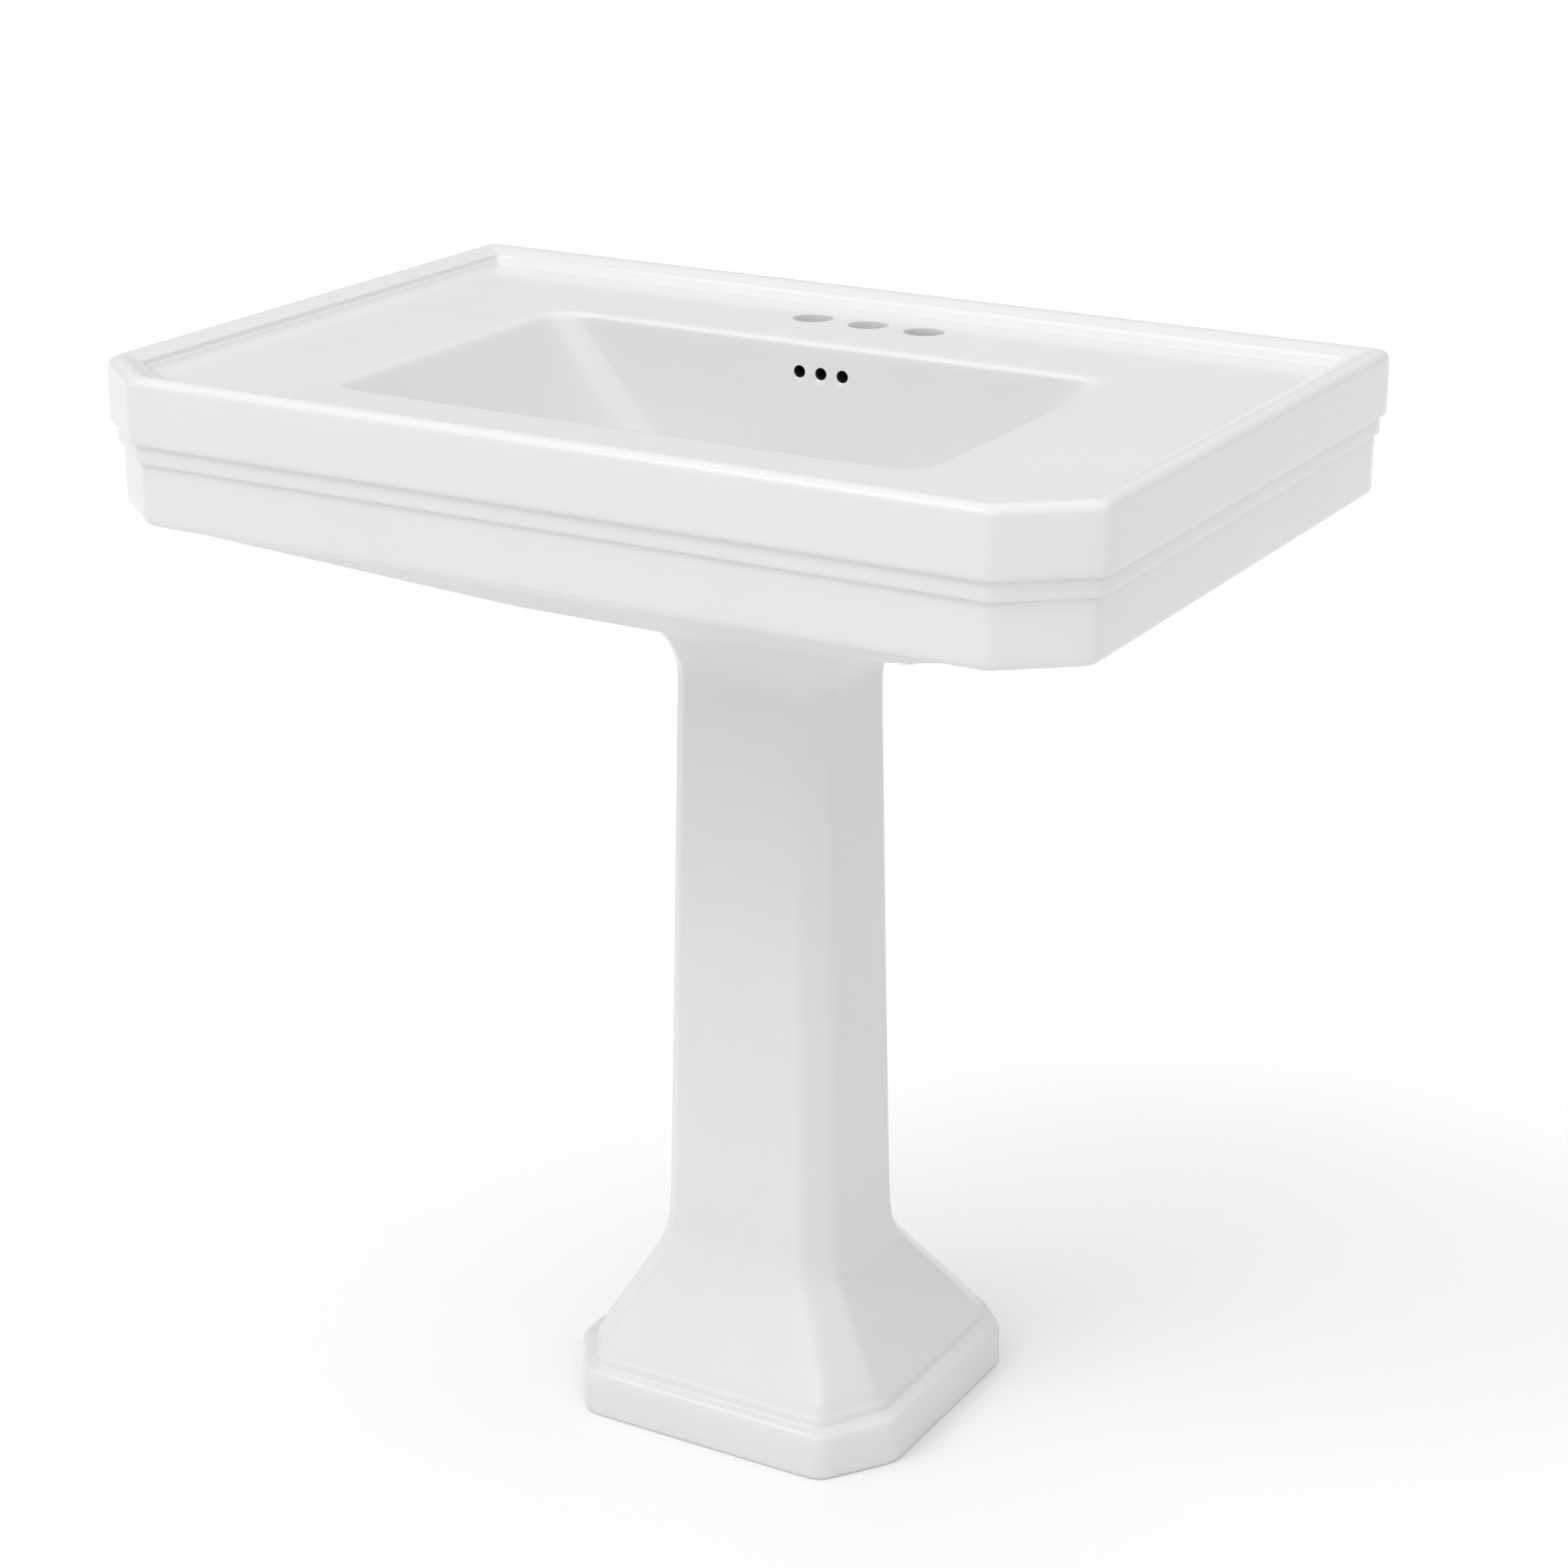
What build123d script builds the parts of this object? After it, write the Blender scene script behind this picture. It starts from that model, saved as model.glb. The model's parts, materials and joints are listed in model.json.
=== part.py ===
from build123d import *
import math
import os

# Pedestal sink in glazed vitreous china, with its push-button drain, trap and wall fixings.
# Millimetres. X runs across the sink, Y runs from the user (-) to the wall (+), Z is up.
# The origin is on the floor, on the axis of the pedestal's floor-fixing hole.

# ---- driving dimensions ----
BASIN_W = 833.5            # across the apron
BASIN_D = 564.0            # wall plane to apron front
RIM_Z = 906.0              # crest of the rim above the floor
WALL_Y = 213.0             # wall plane
CORNER_X = 63.0            # front corner chamfer, along X
CORNER_Y = 51.0            # front corner chamfer, along Y
CORNER_R = 12.0            # rounding of the chamfer's two upright edges
RIM_EDGE_R = 9.0           # rounding of the rim's outer top edge

BAND_BOTTOMS = (853.5, 838.5, 790.0)    # lower edges of the three apron bands
BAND_INSETS = (0.0, 4.8, 8.6)           # how far each band is set back
BAND_EDGE_RS = (4.5, 3.5, 6.5)          # rounding of each band's lower edge

DECK_Z = 892.4             # flat deck round the bowl
MOULDING = (               # inset from the apron face, height: the stepped inside of the rim
    (24.5, 901.6),
    (26.0, 898.4),
    (28.0, 897.6),
    (31.0, 894.6),
    (36.0, DECK_Z),
)

CHINA_T = 12.0             # wall thickness of the basin
BOWL_TOP_X = 250.0         # half width of the bowl at the deck
BOWL_TOP_Y = (-244.0, 65.0)
BOWL_FLOOR_X = 138.0       # half width of the bowl floor
BOWL_FLOOR_Y = (-145.0, 52.0)
BOWL_FLOOR_Z = 761.0
BOWL_TOP_R = 26.0          # plan radius of the bowl corners at the deck
BOWL_FLOOR_R = 34.0
BOWL_EDGE_R = 6.0          # rounding from deck into bowl
BOWL_CREASE_R = 16.0       # rounding from bowl wall to bowl floor

PAN_TOP = (322.0, -336.0, 199.0)        # hipped underside at the apron: half width, front, back
PAN_FLAT = (132.0, -161.0, 90.0)        # its flat bottom: half width, front, back
PAN_FLAT_Z = 712.0
REAR_OPENING_X = 170.0     # half width of the opening behind the bowl
REAR_OPENING_Y = (94.0, 199.0)

TAP_HOLE_R = 16.5
TAP_HOLE_PITCH = 50.8      # centre-set, 4 in between the outer holes
TAP_HOLE_Y = 141.3
OVERFLOW_R = 5.0
OVERFLOW_PITCH = 19.3
OVERFLOW_Z = 867.0
DUCT_X = 24.0              # half width of the cast-in overflow duct behind the bowl
DUCT_DEPTH = 11.0
DUCT_Z = (734.0, 874.0)
DUCT_RUN_X = 12.0          # half width and height of its run under the bowl floor
DUCT_RUN_H = 8.0
DUCT_WALL = 6.0
CHAMBER_R = 30.0           # ring chamber round the drain bore
CHAMBER_Z = (732.0, 744.0)
DRAIN_BOSS_R = 40.0        # solid china round the drain bore

DRAIN_Y = -12.0
DRAIN_SEAT_Z = 754.5       # floor of the recess that takes the drain flange
DRAIN_BORE_R = 22.0
DRAIN_BARREL_R = 21.0
DRAIN_BARREL_BORE_R = 17.0
FLANGE_R = 32.0
FLANGE_T = 3.0
FLANGE_SEAL_T = 1.5
PORT_Z = 738.0             # overflow ports through barrel and cartridge
PORT_SIZE = (11.0, 9.0)    # their width and height
BARREL_BOTTOM = 664.0
LEDGE_Z = (696.0, 699.0)   # ring inside the barrel that carries the cartridge
LEDGE_R = 15.8
LOCKNUT_Z = (692.0, 702.0)
SLIP_WASHER_TOP = 704.0
GASKET_R = 31.0

CAP_R = 24.0               # push-button stopper, shown open
CAP_Z = (769.0, 775.0)
STOPPER_SEAL_Z = 766.4     # underside of the seal below the cap
STEM_R = 5.0
STEM_BOTTOM = 722.0
STEM_NECK_R = 4.0          # neck through the seal into the cap
CARTRIDGE_TOP = 748.0
CARTRIDGE_R = 16.7
HUB_R = 7.5
HUB_FLOOR = 4.0
SPRING_R = (4.6, 3.4)      # outer and inner radius of the coil

TUBE_R = 15.875            # 1-1/4 in waste tube
TUBE_WALL = 1.2
TAILPIECE_Z = (592.0, 684.0)
COLLAR_Z = (658.0, 662.0)  # flange of the tailpiece under the barrel
COLLAR_R = 19.5
TAIL_SLEEVE_BOTTOM = 660.0 # thicker end of the tailpiece inside the barrel
TRAP_R = 17.5              # outer radius of the belled trap bend
TRAP_BORE_R = 16.2
ARM_FOOT_Z = 539.0         # lower end of the waste arm's leg in the trap
SLIP_NUT_R = 22.5
SLIP_WASHER_R = 17.4
SLIP_WASHER_T = 3.0
TRAP_BEND_R = 38.0
TRAP_BOTTOM_Z = 517.0      # centre height of the trap's U
TRAP_INLET_TOP = 614.0
TRAP_OUTLET_TOP = 566.0
ARM_Z = 619.0              # height of the waste arm at the wall
ARM_BEND_R = 35.0
ARM_PAST_WALL = 45.0
ESCUTCHEON_R = 34.0        # thin cover ring at the wall
ESCUTCHEON_H = 10.0
SHEET_T = 1.0

HANGER_X = 120.0
HANGER_Z = 835.0
STUD_R = 4.0               # machine-threaded end in the room
SCREW_R = 4.76             # wood-screw end in the wall
SCREW_PAST_WALL = 47.0
SCREW_TIP = 8.0
STUD_START_Y = 180.0
HANGER_NUT_Y = (187.0, 195.0)
HANGER_WASHER_Y = (195.0, 197.0)
SLEEVE_FLANGE_Y = 197.0
HANGER_HOLE_R = 7.3

SHAFT_X = 73.0             # pedestal shaft: half width and half depth
SHAFT_Y = 64.0
PLINTH_X = 153.0
PLINTH_FRONT = -130.5
PLINTH_BACK = 155.0
PLINTH_Z = 41.5
PEDESTAL_TOP = 710.0
PEDESTAL_WALL = 11.0
SLOT_X = 44.0              # half width of the open back
SLOT_BOTTOM = 58.0
PAD_R = 5.0                # rubber pads on the lip of the head, two each side
PAD_SPOTS = ((55.0, -86.7), (95.7, 40.0))
WEB_T = 12.0               # bridge across the foot, with the floor-fixing hole
FLOOR_HOLE_R = 6.0

os.makedirs("parts", exist_ok=True)


# ---- helpers ----
def tube(outer_r, inner_r, z0, z1, x=0.0, y=0.0):
    """Upright ring or pipe between two heights."""
    height = z1 - z0
    ring = Cylinder(outer_r, height) - Cylinder(inner_r, height + 2)
    return Pos(x, y, (z0 + z1) / 2) * ring


def rod(radius, z0, z1, x=0.0, y=0.0):
    """Upright solid round bar between two heights."""
    return Pos(x, y, (z0 + z1) / 2) * Cylinder(radius, z1 - z0)


def block(x0, x1, y0, y1, z0, z1):
    """Box from its low and high faces."""
    centre = Pos((x0 + x1) / 2, (y0 + y1) / 2, (z0 + z1) / 2)
    return centre * Box(x1 - x0, y1 - y0, z1 - z0)


def polygon_at(points, z):
    """Flat face through the given plan points at height z."""
    return Pos(0, 0, z) * make_face(Polyline(*points, close=True))


def stack(levels):
    """Solid through plan outlines of equal point count, straight between levels."""
    return loft([polygon_at(points, z) for points, z in levels], ruled=True)


def rounded_rect(half_x, y0, y1, radius, z):
    """Rectangle with round corners, symmetric about X = 0."""
    shape = RectangleRounded(2 * half_x, y1 - y0, radius)
    return Pos(0, (y0 + y1) / 2, z) * shape


def hex_nut(across_flats, bore_r, z0, z1, x=0.0, y=0.0):
    """Hexagon nut with a plain bore."""
    hexagon = RegularPolygon(across_flats / 2, 6, major_radius=False)
    body = extrude(hexagon, z1 - z0)
    return Pos(x, y, z0) * body - rod(bore_r, z0 - 1, z1 + 1, x, y)


def save(shape, node):
    """Write one node as a STEP file."""
    shape.label = node
    export_step(shape, f"parts/{node}.step")


# ---- basin ----
def basin_outline(inset, back_inset=0.0):
    """Plan of the basin, set in from the apron face: a rectangle with chamfered front corners."""
    half = BASIN_W / 2
    front = WALL_Y - BASIN_D
    length = math.hypot(CORNER_X, CORNER_Y)
    reach = (CORNER_Y * (half - CORNER_X) - CORNER_X * front) / length - inset
    front_x = (length * reach + CORNER_X * (front + inset)) / CORNER_Y
    side_y = (CORNER_Y * (half - inset) - length * reach) / CORNER_X
    right = [(front_x, front + inset), (half - inset, side_y), (half - inset, WALL_Y - back_inset)]
    left = [(-x, y) for x, y in reversed(right)]
    return right + left


def basin_slab(inset, z0, z1, back_inset=0.0):
    """Upright slab on the basin's outline, its front corners rounded."""
    face = make_face(Polyline(*basin_outline(inset, back_inset), close=True))
    corners = [v for v in face.vertices() if v.Y < -200]
    face = fillet(corners, CORNER_R)
    return Pos(0, 0, z0) * extrude(face, z1 - z0)


def round_front(slab, z, radius):
    """Round the edges at height z, except the one against the wall."""
    edges = slab.edges().filter_by_position(Axis.Z, z - 0.01, z + 0.01)
    edges = [e for e in edges if e.center().Y < WALL_Y - 0.5]
    return fillet(edges, radius)


def apron():
    """Three stacked bands, each with a round lower edge."""
    tops = (RIM_Z,) + tuple(z + 6 for z in BAND_BOTTOMS[:2])
    body = None
    for top, bottom, inset, edge_r in zip(tops, BAND_BOTTOMS, BAND_INSETS, BAND_EDGE_RS):
        band = basin_slab(inset, bottom, top)
        band = round_front(band, bottom, edge_r)
        if top == RIM_Z:
            band = round_front(band, top, RIM_EDGE_R)
        body = band if body is None else body + band
    return body


def pan(lift=0.0):
    """Hipped underside below the apron."""
    half, front, back = PAN_TOP
    flat_half, flat_front, flat_back = PAN_FLAT
    top = [(-half, front), (half, front), (half, back), (-half, back)]
    flat = [(-flat_half, flat_front), (flat_half, flat_front),
            (flat_half, flat_back), (-flat_half, flat_back)]
    base_z = BAND_BOTTOMS[2] + 1.0
    return Pos(0, 0, lift) * stack([(flat, PAN_FLAT_Z), (top, base_z)])


def bowl(grow=0.0):
    """Space of the bowl, or with grow the outside of its china wall."""
    front, back = BOWL_TOP_Y
    floor_front, floor_back = BOWL_FLOOR_Y
    top = rounded_rect(BOWL_TOP_X + grow, front - grow, back + grow, BOWL_TOP_R + grow, DECK_Z)
    floor_z = BOWL_FLOOR_Z - grow
    floor = rounded_rect(BOWL_FLOOR_X + grow, floor_front - grow, floor_back + grow,
                         BOWL_FLOOR_R + grow, floor_z)
    body = loft([floor, top], ruled=True)
    crease = body.edges().filter_by_position(Axis.Z, floor_z - 0.01, floor_z + 0.01)
    return fillet(crease, BOWL_CREASE_R)


def deck_recess():
    """Space inside the rim moulding, above the deck."""
    levels = [(basin_outline(inset, inset), z) for inset, z in reversed(MOULDING)]
    crest = (basin_outline(10.5, 10.5), RIM_Z)
    above = (basin_outline(10.5, 10.5), RIM_Z + 2)
    return stack(levels + [crest, above])


def overflow_duct(wall):
    """Cast-in channel from the overflow holes down and forward to the drain bore."""
    front = BOWL_TOP_Y[1] + CHINA_T - 2
    back = front + DUCT_DEPTH
    low, high = DUCT_Z
    half = DUCT_X + wall
    drop = block(-half, half, front - wall, back + wall, low - wall, high + wall)
    half = DUCT_RUN_X + wall
    run = block(-half, half, DRAIN_Y, back, low - wall, low + DUCT_RUN_H + wall)
    chamber = rod(CHAMBER_R + wall, CHAMBER_Z[0] - wall, CHAMBER_Z[1] + wall, 0, DRAIN_Y)
    return drop + run + chamber


def basin():
    """One-piece china basin: apron, deck, bowl and hipped underside, hollow between."""
    body = apron() + pan()
    hollow = basin_slab(BAND_INSETS[2] + CHINA_T, BAND_BOTTOMS[2] + CHINA_T,
                        DECK_Z - CHINA_T, WALL_Y - REAR_OPENING_Y[1])
    hollow += pan(CHINA_T + 1)
    hollow -= bowl(CHINA_T)
    hollow -= overflow_duct(DUCT_WALL)
    hollow -= rod(DRAIN_BOSS_R, PAN_FLAT_Z, BOWL_FLOOR_Z, 0, DRAIN_Y)
    body -= hollow
    body -= block(-REAR_OPENING_X, REAR_OPENING_X, *REAR_OPENING_Y, 700, DECK_Z - CHINA_T)
    body -= deck_recess()
    body -= bowl()
    rim = body.edges().filter_by_position(Axis.Z, DECK_Z - 0.01, DECK_Z + 0.01)
    rim = [e for e in rim if abs(e.center().X) < BOWL_TOP_X + 1
           and BOWL_TOP_Y[0] - 1 < e.center().Y < BOWL_TOP_Y[1] + 1]
    body = fillet(rim, BOWL_EDGE_R)
    body -= overflow_duct(0.0)
    for i in (-1, 0, 1):
        hole = Rot(90, 0, 0) * Cylinder(OVERFLOW_R, 60)
        body -= Pos(i * OVERFLOW_PITCH, BOWL_TOP_Y[1] - 13, OVERFLOW_Z) * hole
        body -= rod(TAP_HOLE_R, DECK_Z - 40, DECK_Z + 5, i * TAP_HOLE_PITCH, TAP_HOLE_Y)
    body -= rod(DRAIN_BORE_R, PAN_FLAT_Z - 5, BOWL_FLOOR_Z + 5, 0, DRAIN_Y)
    body -= rod(FLANGE_R + 1.5, DRAIN_SEAT_Z, BOWL_FLOOR_Z + 5, 0, DRAIN_Y)
    for side in (-1, 1):
        hole = Rot(90, 0, 0) * Cylinder(HANGER_HOLE_R, 60)
        body -= Pos(side * HANGER_X, WALL_Y, HANGER_Z) * hole
    return body


# ---- pedestal ----
def octagon(half_x, front, back, cut_x, cut_y, cut_back):
    """Plan outline with chamfered corners; front and back chamfers may differ."""
    right = [(half_x - cut_x, front), (half_x, front + cut_y),
             (half_x, back - cut_back), (half_x - cut_back, back)]
    return right + [(-x, y) for x, y in reversed(right)]


def flared(spread, inset=0.0):
    """Section of shaft and skirt: spread 0 is the slim shaft, 1 the foot of the skirt."""
    k = spread
    return octagon(SHAFT_X + 56 * k - inset, -SHAFT_Y - 49 * k + inset, SHAFT_Y + 74 * k - inset,
                   21 + 3 * k - 0.4 * inset, 21 + 25 * k - 0.4 * inset, 21 + 9 * k - 0.4 * inset)


def plinth_section(inset):
    """Section of the square foot."""
    return octagon(PLINTH_X - inset, PLINTH_FRONT + inset, PLINTH_BACK - inset,
                   41 - 0.4 * inset, 58 - 0.4 * inset, 35 - 0.4 * inset)


def top_section(flare, inset=0.0):
    """Section of the shaft's head, spread evenly by flare."""
    return octagon(SHAFT_X + flare - inset, -SHAFT_Y - flare + inset, SHAFT_Y + flare - inset,
                   21 + 0.4 * (flare - inset), 21 + 0.4 * (flare - inset),
                   21 + 0.4 * (flare - inset))


def skirt_spread(z):
    """Spread at a height: the skirt's straight slope melts through a cove into the shaft's taper."""
    slope = 0.93 - 0.0107 * (z - 69)
    taper = 0.058 - 0.0003 * (z - 346)
    middle = (slope + taper) / 2
    return middle + math.hypot((slope - taper) / 2, 0.062)


SKIRT_Z = [60 + 9 * i for i in range(14)] + [200.0, 240.0, 300.0, 400.0, 520.0]
HEAD_START = 640.0
HEAD_R = 62.0              # radius of the cove under the head
HEAD_LIP_Z = 692.0


def head_flare(z):
    """Outward spread of the cove under the head."""
    rise = min(z, HEAD_LIP_Z) - HEAD_START
    return HEAD_R - math.sqrt(HEAD_R ** 2 - rise ** 2)


def pedestal():
    """Hollow china column with a square foot, open at the back for the pipes."""
    head = (HEAD_START, 654.0, 666.0, 676.0, 685.0, HEAD_LIP_Z)
    levels = [(plinth_section(3), 0.0), (plinth_section(0), 4.0), (plinth_section(0), 36.0),
              (plinth_section(2), 40.0), (plinth_section(6), PLINTH_Z),
              (plinth_section(14), PLINTH_Z + 2)]
    levels += [(flared(1.16), PLINTH_Z + 2.5), (flared(1.16), PLINTH_Z + 6), (flared(1.10), 50)]
    levels += [(flared(skirt_spread(z)), z) for z in SKIRT_Z]
    levels += [(top_section(head_flare(z)), z) for z in head]
    levels += [(top_section(head_flare(HEAD_LIP_Z)), PEDESTAL_TOP)]
    body = stack(levels)
    wall = PEDESTAL_WALL
    inner = [(plinth_section(wall + 2), -1.0), (plinth_section(wall + 2), 28.0)]
    inner += [(flared(skirt_spread(z), wall), z) for z in SKIRT_Z[1::2]]
    inner += [(top_section(head_flare(z), wall), z) for z in head]
    inner += [(top_section(head_flare(HEAD_LIP_Z), wall), PEDESTAL_TOP + 1)]
    body -= stack(inner)
    body -= block(-SLOT_X, SLOT_X, 20, PLINTH_BACK + 40, SLOT_BOTTOM, PEDESTAL_TOP + 5)
    web = block(-PLINTH_X + wall, PLINTH_X - wall, -36, 36, 0, WEB_T)
    body += web
    body -= rod(FLOOR_HOLE_R, -1, WEB_T + 1)
    return body


def support_pads():
    """Four rubber pads between the pedestal head and the basin."""
    spots = [(side * x, y) for side in (-1, 1) for x, y in PAD_SPOTS]
    return Compound([rod(PAD_R, PEDESTAL_TOP, PAN_FLAT_Z, x, y) for x, y in spots])


# ---- drain ----
def ports(reach):
    """Three overflow ports round the drain's axis, cut out to a radius."""
    width, height = PORT_SIZE
    shape = None
    for i in range(3):
        port = Rot(0, 0, 120 * i + 30) * Pos(reach / 2, 0, 0) * Box(reach, width, height)
        shape = port if shape is None else shape + port
    return Pos(0, DRAIN_Y, PORT_Z) * shape


def drain_body():
    """Flanged barrel with overflow ports and an inner ledge for the stopper cartridge."""
    flange_z = DRAIN_SEAT_Z + FLANGE_SEAL_T
    top = flange_z + FLANGE_T
    body = rod(FLANGE_R, flange_z, top, 0, DRAIN_Y)
    body += rod(DRAIN_BARREL_R, BARREL_BOTTOM, top, 0, DRAIN_Y)
    body = fillet(body.edges().filter_by_position(Axis.Z, top - 0.01, top + 0.01), 1.4)
    body -= rod(DRAIN_BARREL_BORE_R, BARREL_BOTTOM - 1, top + 1, 0, DRAIN_Y)
    seat = Cone(DRAIN_BARREL_BORE_R, DRAIN_BARREL_BORE_R + 5, FLANGE_T + 0.2)
    body -= Pos(0, DRAIN_Y, flange_z + 1.6) * seat
    body += tube(DRAIN_BARREL_R - 1, LEDGE_R, *LEDGE_Z, 0, DRAIN_Y)
    return body - ports(DRAIN_BARREL_R + 5)


def stopper_cartridge():
    """Plastic spider that guides the stopper stem, open for water between its three arms."""
    base = LEDGE_Z[1]
    body = tube(CARTRIDGE_R, CARTRIDGE_R - 1.7, base, CARTRIDGE_TOP, 0, DRAIN_Y)
    body += rod(HUB_R, base, CARTRIDGE_TOP, 0, DRAIN_Y)
    for i in range(3):
        arm = Rot(0, 0, 120 * i + 90) * Pos(11.5, 0, 0) * Box(9, 2.2, CARTRIDGE_TOP - base)
        body += Pos(0, DRAIN_Y, (base + CARTRIDGE_TOP) / 2) * arm
    body -= rod(STEM_R + 0.05, base + HUB_FLOOR, CARTRIDGE_TOP + 1, 0, DRAIN_Y)
    return body - (ports(DRAIN_BARREL_R) - rod(HUB_R + 1.5, PORT_Z - 10, PORT_Z + 10, 0, DRAIN_Y))


def stopper_cap():
    """Domed push button that closes the drain."""
    low, high = CAP_Z
    button = rod(CAP_R, low, high, 0, DRAIN_Y)
    button = fillet(button.edges().filter_by_position(Axis.Z, high - 0.1, high + 0.1), 4.5)
    return button - rod(STEM_NECK_R, low - 1, low + 3, 0, DRAIN_Y)


def stopper_stem():
    """Stem that slides in the cartridge and screws into the cap."""
    stem = rod(STEM_R, STEM_BOTTOM, STOPPER_SEAL_Z, 0, DRAIN_Y)
    return stem + rod(STEM_NECK_R, STOPPER_SEAL_Z, CAP_Z[0] + 3, 0, DRAIN_Y)


def trap_j_bend():
    """U-shaped trap with belled legs, from the tailpiece to the waste arm."""
    inlet = (0, DRAIN_Y)
    outlet = (0, DRAIN_Y + 2 * TRAP_BEND_R)
    legs = rod(TRAP_R, TRAP_BOTTOM_Z, TRAP_INLET_TOP, *inlet)
    legs += rod(TRAP_R, TRAP_BOTTOM_Z, TRAP_OUTLET_TOP, *outlet)
    bores = rod(TRAP_BORE_R, TRAP_BOTTOM_Z, TRAP_INLET_TOP + 1, *inlet)
    bores += rod(TRAP_BORE_R, TRAP_BOTTOM_Z, TRAP_OUTLET_TOP + 1, *outlet)
    bend_axis = Axis((0, DRAIN_Y + TRAP_BEND_R, TRAP_BOTTOM_Z), (1, 0, 0))
    start = Pos(0, DRAIN_Y, TRAP_BOTTOM_Z)
    legs += revolve(start * Circle(TRAP_R), bend_axis, 180)
    bores += revolve(start * Circle(TRAP_BORE_R), bend_axis, 180)
    return legs - bores


def trap_arm():
    """Waste arm: short leg down into the trap, a bend, then level to the wall."""
    y = DRAIN_Y + 2 * TRAP_BEND_R
    bend_z = ARM_Z - ARM_BEND_R
    wall_end = WALL_Y + ARM_PAST_WALL
    bend_axis = Axis((0, y + ARM_BEND_R, bend_z), (-1, 0, 0))

    def run(radius, extra):
        leg = rod(radius, ARM_FOOT_Z - extra, bend_z, 0, y)
        leg += revolve(Pos(0, y, bend_z) * Circle(radius), bend_axis, 90)
        length = wall_end + extra - (y + ARM_BEND_R)
        level = Rot(90, 0, 0) * Cylinder(radius, length)
        return leg + Pos(0, y + ARM_BEND_R + length / 2, ARM_Z) * level

    return run(TUBE_R, 0.0) - run(TUBE_R - TUBE_WALL, 1.0)


def slip_nut(leg_top, y):
    """Slip nut over a belled leg: wide skirt below, narrow lip above the washer."""
    body = rod(SLIP_NUT_R, leg_top - 14, leg_top + 6, 0, y)
    body -= rod(TRAP_R + 0.1, leg_top - 15, leg_top + 3, 0, y)
    body -= rod(TUBE_R + 0.3, leg_top, leg_top + 7, 0, y)
    for i in range(8):
        groove = Rot(0, 0, 45 * i) * Pos(SLIP_NUT_R + 1.1, 0, 0) * Cylinder(3, 15)
        body -= Pos(0, y, leg_top - 6.5) * groove
    return body


def tailpiece():
    """Tube from the drain barrel down into the trap, with a collar at the barrel."""
    low, high = TAILPIECE_Z
    body = rod(TUBE_R, low, high, 0, DRAIN_Y)
    body += rod(DRAIN_BARREL_BORE_R - 0.1, TAIL_SLEEVE_BOTTOM, high, 0, DRAIN_Y)
    body += rod(COLLAR_R, *COLLAR_Z, 0, DRAIN_Y)
    return body - rod(TUBE_R - TUBE_WALL, low - 1, high + 1, 0, DRAIN_Y)


def dome(radius, height, edge_r):
    """Round button with a soft upper edge, standing on Z = 0."""
    body = Pos(0, 0, height / 2) * Cylinder(radius, height)
    return fillet(body.edges().sort_by(Axis.Z)[-1], edge_r)


def wall_escutcheon():
    """Thin domed cover ring where the waste arm enters the wall."""
    shell = dome(ESCUTCHEON_R, ESCUTCHEON_H, 7)
    shell -= dome(ESCUTCHEON_R - SHEET_T, ESCUTCHEON_H - SHEET_T, 6)
    shell -= Cylinder(TUBE_R + 1, 3 * ESCUTCHEON_H)
    return Pos(0, WALL_Y, ARM_Z) * Rot(90, 0, 0) * shell


# ---- wall fixings ----
def at_hangers(make):
    """The same solid at both hanger positions, lying along Y."""
    return Compound([Pos(side * HANGER_X, 0, HANGER_Z) * Rot(-90, 0, 0) * make()
                     for side in (-1, 1)])


def hanger_bolt():
    """Stud with a machine-threaded end in the room and a pointed wood-screw end in the wall."""
    screw_end = WALL_Y + SCREW_PAST_WALL
    shank = rod(STUD_R, STUD_START_Y, WALL_Y) + rod(SCREW_R, WALL_Y, screw_end)
    return shank + Pos(0, 0, screw_end + SCREW_TIP / 2) * Cone(SCREW_R, 0.6, SCREW_TIP)


def hanger_sleeve():
    """Plastic bush that keeps the stud off the china."""
    bore = STUD_R + 0.1
    return tube(7, bore, REAR_OPENING_Y[1], WALL_Y) + tube(11, bore, SLEEVE_FLANGE_Y, REAR_OPENING_Y[1])


def hanger_washer():
    """Plain washer between the nut and the sleeve's flange."""
    return tube(15, STUD_R + 0.3, *HANGER_WASHER_Y)


def hanger_nut():
    """Hexagon nut on the stud."""
    return hex_nut(14, STUD_R, *HANGER_NUT_Y)


# ---- write every node ----
def at_drain(outer_r, inner_r, z0, z1):
    """Ring on the drain's axis."""
    return tube(outer_r, inner_r, z0, z1, 0, DRAIN_Y)


def slip_washer(leg_top, y):
    """Bevelled rubber ring under a slip nut."""
    return tube(SLIP_WASHER_R, TUBE_R, leg_top, leg_top + SLIP_WASHER_T, 0, y)


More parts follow.
